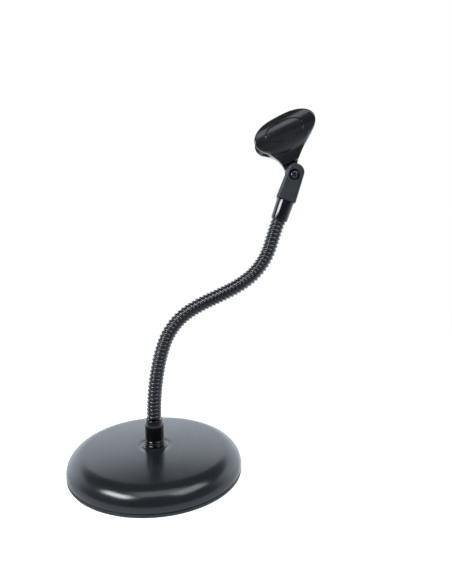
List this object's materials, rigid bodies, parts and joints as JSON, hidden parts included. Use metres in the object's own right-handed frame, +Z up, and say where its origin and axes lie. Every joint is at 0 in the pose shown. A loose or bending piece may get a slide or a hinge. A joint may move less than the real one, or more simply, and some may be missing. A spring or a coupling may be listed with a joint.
{
  "type": "desktop microphone stand",
  "caption": "Desktop microphone stand: heavy round domed base, flexible gooseneck that holds its shape, and a screw-on tilting microphone clip.",
  "frame": {"origin": "middle of the round base, on the table plane", "axes": "+Z up; the gooseneck bends in the XZ plane and leans to +X; -Y is the side the clip's screw faces"},
  "size_m": [0.2462, 0.17, 0.3442],
  "materials": {
    "powder_coat": "satin black powder coat",
    "cast_iron": "rough as cast",
    "black_plate": "matt black",
    "zinc_steel": "zinc plated",
    "black_rubber": "matt",
    "gloss_black_steel": "gloss black",
    "gooseneck_steel": "gloss black wound steel wire",
    "charcoal_plastic": "satin charcoal moulded plastic",
    "black_oxide_screw": "polished black screw",
    "fibre_washer": "matt fibre",
    "clip_plastic": "satin black flexible plastic"
  },
  "bodies": {
    "base": {"base_cover": "powder_coat", "base_weight": "cast_iron", "bottom_plate": "black_plate", "plate_screws": "zinc_steel", "rubber_foot_ring": "black_rubber"},
    "neck_root": {"lower_ferrule": "gloss_black_steel", "anchor_bolt": "zinc_steel", "anchor_lock_washer": "zinc_steel", "anchor_washer": "zinc_steel", "gooseneck_segment_01": "gooseneck_steel"},
    "lock_ring": {"neck_lock_ring": "gloss_black_steel"},
    "neck_02": {"gooseneck_segment_02": "gooseneck_steel"},
    "neck_03": {"gooseneck_segment_03": "gooseneck_steel"},
    "neck_04": {"gooseneck_segment_04": "gooseneck_steel"},
    "neck_05": {"gooseneck_segment_05": "gooseneck_steel"},
    "neck_06": {"gooseneck_segment_06": "gooseneck_steel"},
    "neck_07": {"gooseneck_segment_07": "gooseneck_steel"},
    "neck_08": {"gooseneck_segment_08": "gooseneck_steel"},
    "neck_09": {"gooseneck_segment_09": "gooseneck_steel"},
    "neck_10": {"gooseneck_segment_10": "gooseneck_steel"},
    "neck_11": {"gooseneck_segment_11": "gooseneck_steel"},
    "neck_12": {"gooseneck_segment_12": "gooseneck_steel"},
    "neck_13": {"gooseneck_segment_13": "gooseneck_steel"},
    "neck_14": {"gooseneck_segment_14": "gooseneck_steel"},
    "neck_15": {"gooseneck_segment_15": "gooseneck_steel"},
    "neck_16": {"gooseneck_segment_16": "gooseneck_steel"},
    "neck_17": {"gooseneck_segment_17": "gooseneck_steel"},
    "neck_18": {"gooseneck_segment_18": "gooseneck_steel"},
    "neck_19": {"gooseneck_segment_19": "gooseneck_steel"},
    "neck_20": {"gooseneck_segment_20": "gooseneck_steel"},
    "neck_21": {"gooseneck_segment_21": "gooseneck_steel"},
    "neck_22": {"gooseneck_segment_22": "gooseneck_steel"},
    "neck_23": {"gooseneck_segment_23": "gooseneck_steel"},
    "neck_24": {"gooseneck_segment_24": "gooseneck_steel"},
    "neck_top": {"gooseneck_segment_25": "gooseneck_steel", "upper_ferrule": "gloss_black_steel"},
    "swivel": {"clip_swivel": "charcoal_plastic", "pivot_nut": "black_oxide_screw", "friction_washers": "fibre_washer"},
    "pivot_screw": {"pivot_screw": "black_oxide_screw"},
    "clip": {"mic_clip": "clip_plastic"}
  },
  "joints": [
    {"name": "neck_swivel", "type": "hinge", "parent": "base", "child": "neck_root", "pos_m": [0, 0, 0.0252], "axis": [0, 0, 1], "range_deg": [-180, 180]},
    {"name": "lock_ring_turn", "type": "hinge", "parent": "neck_root", "child": "lock_ring", "pos_m": [0, 0, 0.0272], "axis": [0, 0, 1], "continuous": true},
    {"name": "lower_neck_bend_1", "type": "hinge", "parent": "neck_root", "child": "neck_02", "pos_m": [0, 0, 0.05713], "axis": [0, 1, 0], "range_deg": [-20, 15]},
    {"name": "lower_neck_sway_1", "type": "hinge", "parent": "neck_02", "child": "neck_03", "pos_m": [0.00052, 0, 0.06738], "axis": [0.9987, 0, -0.0506], "range_deg": [-20, 20]},
    {"name": "lower_neck_bend_2", "type": "hinge", "parent": "neck_03", "child": "neck_04", "pos_m": [0.00104, 0, 0.07762], "axis": [0, 1, 0], "range_deg": [-20, 15]},
    {"name": "lower_neck_sway_2", "type": "hinge", "parent": "neck_04", "child": "neck_05", "pos_m": [0.00243, 0, 0.08779], "axis": [0.9907, 0, -0.1357], "range_deg": [-20, 20]},
    {"name": "lower_neck_bend_3", "type": "hinge", "parent": "neck_05", "child": "neck_06", "pos_m": [0.00382, 0, 0.09795], "axis": [0, 1, 0], "range_deg": [-20, 15]},
    {"name": "lower_neck_sway_3", "type": "hinge", "parent": "neck_06", "child": "neck_07", "pos_m": [0.00603, 0, 0.10798], "axis": [0.9767, 0, -0.2147], "range_deg": [-20, 20]},
    {"name": "lower_neck_bend_4", "type": "hinge", "parent": "neck_07", "child": "neck_08", "pos_m": [0.00823, 0, 0.118], "axis": [0, 1, 0], "range_deg": [-20, 15]},
    {"name": "lower_neck_sway_4", "type": "hinge", "parent": "neck_08", "child": "neck_09", "pos_m": [0.01186, 0, 0.12759], "axis": [0.9354, 0, -0.3535], "range_deg": [-20, 20]},
    {"name": "middle_neck_bend_1", "type": "hinge", "parent": "neck_09", "child": "neck_10", "pos_m": [0.01548, 0, 0.13719], "axis": [0, -1, 0], "range_deg": [-3, 22]},
    {"name": "middle_neck_sway_1", "type": "hinge", "parent": "neck_10", "child": "neck_11", "pos_m": [0.02205, 0, 0.14507], "axis": [-0.7683, 0, 0.6401], "range_deg": [-20, 20]},
    {"name": "middle_neck_bend_2", "type": "hinge", "parent": "neck_11", "child": "neck_12", "pos_m": [0.02862, 0, 0.15296], "axis": [0, -1, 0], "range_deg": [-3, 22]},
    {"name": "middle_neck_sway_2", "type": "hinge", "parent": "neck_12", "child": "neck_13", "pos_m": [0.03748, 0, 0.15813], "axis": [-0.5045, 0, 0.8634], "range_deg": [-20, 20]},
    {"name": "middle_neck_bend_3", "type": "hinge", "parent": "neck_13", "child": "neck_14", "pos_m": [0.04634, 0, 0.16331], "axis": [0, -1, 0], "range_deg": [-3, 22]},
    {"name": "middle_neck_sway_3", "type": "hinge", "parent": "neck_14", "child": "neck_15", "pos_m": [0.05579, 0, 0.1673], "axis": [-0.3891, 0, 0.9212], "range_deg": [-20, 20]},
    {"name": "middle_neck_bend_4", "type": "hinge", "parent": "neck_15", "child": "neck_16", "pos_m": [0.06524, 0, 0.17129], "axis": [0, -1, 0], "range_deg": [-3, 22]},
    {"name": "middle_neck_sway_4", "type": "hinge", "parent": "neck_16", "child": "neck_17", "pos_m": [0.0746, 0, 0.1755], "axis": [-0.4099, 0, 0.9121], "range_deg": [-20, 20]},
    {"name": "upper_neck_bend_1", "type": "hinge", "parent": "neck_17", "child": "neck_18", "pos_m": [0.08395, 0, 0.17971], "axis": [0, 1, 0], "range_deg": [-4, 21]},
    {"name": "upper_neck_sway_1", "type": "hinge", "parent": "neck_18", "child": "neck_19", "pos_m": [0.09233, 0, 0.18563], "axis": [0.5779, 0, -0.8161], "range_deg": [-20, 20]},
    {"name": "upper_neck_bend_2", "type": "hinge", "parent": "neck_19", "child": "neck_20", "pos_m": [0.1007, 0, 0.19156], "axis": [0, 1, 0], "range_deg": [-4, 21]},
    {"name": "upper_neck_sway_2", "type": "hinge", "parent": "neck_20", "child": "neck_21", "pos_m": [0.10662, 0, 0.19995], "axis": [0.8171, 0, -0.5764], "range_deg": [-20, 20]},
    {"name": "upper_neck_bend_3", "type": "hinge", "parent": "neck_21", "child": "neck_22", "pos_m": [0.11253, 0, 0.20833], "axis": [0, 1, 0], "range_deg": [-4, 21]},
    {"name": "upper_neck_sway_3", "type": "hinge", "parent": "neck_22", "child": "neck_23", "pos_m": [0.11556, 0, 0.21813], "axis": [0.9553, 0, -0.2957], "range_deg": [-20, 20]},
    {"name": "upper_neck_bend_4", "type": "hinge", "parent": "neck_23", "child": "neck_24", "pos_m": [0.1186, 0, 0.22793], "axis": [0, 1, 0], "range_deg": [-4, 21]},
    {"name": "upper_neck_sway_4", "type": "hinge", "parent": "neck_24", "child": "neck_top", "pos_m": [0.12201, 0, 0.23761], "axis": [0.9432, 0, -0.3322], "range_deg": [-20, 20]},
    {"name": "clip_turn", "type": "hinge", "parent": "neck_top", "child": "swivel", "pos_m": [0.13002, 0, 0.26037], "axis": [0.3322, 0, 0.9432], "range_deg": [-180, 180]},
    {"name": "clip_tilt", "type": "hinge", "parent": "swivel", "child": "clip", "pos_m": [0.13826, 0, 0.28376], "axis": [0.2758, 0.9563, -0.0971], "range_deg": [-45, 115]},
    {"name": "pivot_screw_turn", "type": "hinge", "parent": "swivel", "child": "pivot_screw", "pos_m": [0.13826, 0, 0.28376], "axis": [0.2758, 0.9563, -0.0971], "continuous": true}
  ],
  "couplings": [
    {"joint": "lower_neck_bend_2", "follows": "lower_neck_bend_1", "ratio": 1},
    {"joint": "lower_neck_sway_2", "follows": "lower_neck_sway_1", "ratio": 1},
    {"joint": "lower_neck_bend_3", "follows": "lower_neck_bend_1", "ratio": 1},
    {"joint": "lower_neck_sway_3", "follows": "lower_neck_sway_1", "ratio": 1},
    {"joint": "lower_neck_bend_4", "follows": "lower_neck_bend_1", "ratio": 1},
    {"joint": "lower_neck_sway_4", "follows": "lower_neck_sway_1", "ratio": 1},
    {"joint": "middle_neck_bend_2", "follows": "middle_neck_bend_1", "ratio": 1},
    {"joint": "middle_neck_sway_2", "follows": "middle_neck_sway_1", "ratio": 1},
    {"joint": "middle_neck_bend_3", "follows": "middle_neck_bend_1", "ratio": 1},
    {"joint": "middle_neck_sway_3", "follows": "middle_neck_sway_1", "ratio": 1},
    {"joint": "middle_neck_bend_4", "follows": "middle_neck_bend_1", "ratio": 1},
    {"joint": "middle_neck_sway_4", "follows": "middle_neck_sway_1", "ratio": 1},
    {"joint": "upper_neck_bend_2", "follows": "upper_neck_bend_1", "ratio": 1},
    {"joint": "upper_neck_sway_2", "follows": "upper_neck_sway_1", "ratio": 1},
    {"joint": "upper_neck_bend_3", "follows": "upper_neck_bend_1", "ratio": 1},
    {"joint": "upper_neck_sway_3", "follows": "upper_neck_sway_1", "ratio": 1},
    {"joint": "upper_neck_bend_4", "follows": "upper_neck_bend_1", "ratio": 1},
    {"joint": "upper_neck_sway_4", "follows": "upper_neck_sway_1", "ratio": 1}
  ]
}
